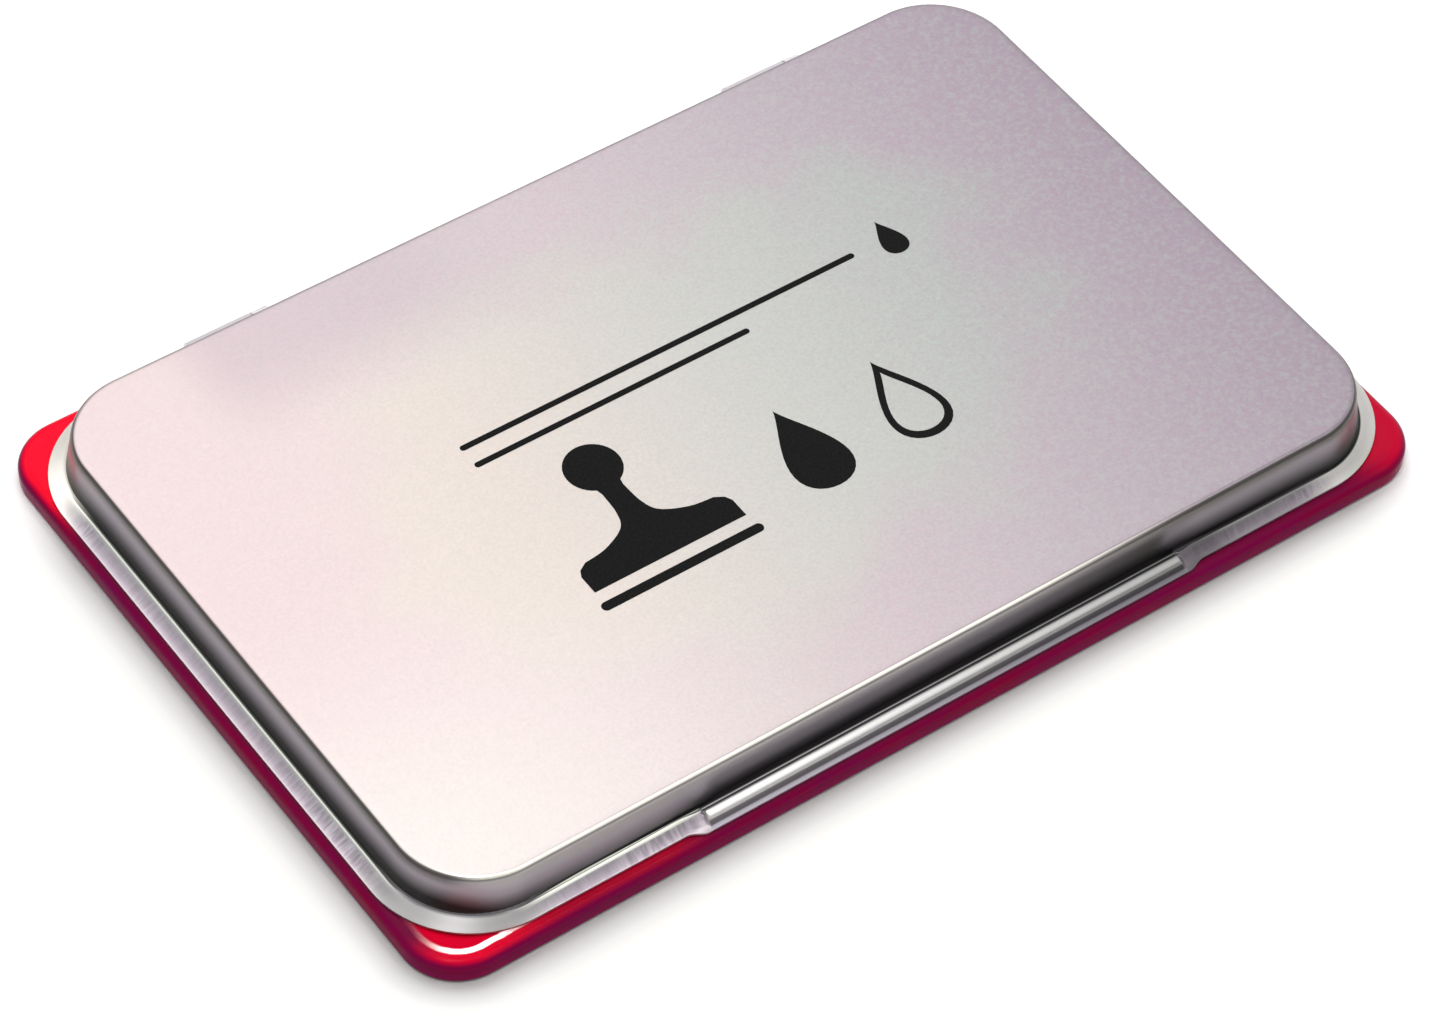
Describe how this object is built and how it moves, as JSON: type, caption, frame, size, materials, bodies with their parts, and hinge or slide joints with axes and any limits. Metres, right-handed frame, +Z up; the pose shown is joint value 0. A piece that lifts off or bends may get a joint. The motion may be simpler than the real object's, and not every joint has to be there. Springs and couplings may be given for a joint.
{
  "type": "ink pad",
  "caption": "Slim hinged ink pad: pressed tinplate lid with front lifting tab over a metal pan with cloth-covered felt, on a moulded plastic base, closed.",
  "frame": {"origin": "centre of the plastic base's underside, on the plane that the pad rests on", "axes": "+X along the long side, to the right when the lifting tab faces the user; +Y away from the user, towards the hinges; +Z up through the lid"},
  "size_m": [0.1194, 0.0802, 0.0082],
  "materials": {
    "tinplate": "satin tin-plated sheet with a fine pressed grain",
    "steel_wire": "bright drawn wire",
    "red_plastic": "glossy moulded red",
    "grey_board": "pressed grey board",
    "inked_felt": "dense wool felt soaked with red ink",
    "inked_cloth": "fine plain-weave cotton soaked with red ink"
  },
  "bodies": {
    "base": {"plastic_base": "red_plastic", "pad_pan": "tinplate", "hinge_leaf_left": "tinplate", "hinge_leaf_right": "tinplate", "hinge_pin_left": "steel_wire", "hinge_pin_right": "steel_wire", "backing_board": "grey_board", "felt_pad": "inked_felt", "ink_cloth": "inked_cloth"},
    "lid": {"lid": "tinplate"}
  },
  "joints": [
    {"name": "lid_hinge", "type": "hinge", "parent": "base", "child": "lid", "pos_m": [0, 0.0393, 0.0028], "axis": [-1, 0, 0], "range_deg": [0, 125]}
  ]
}
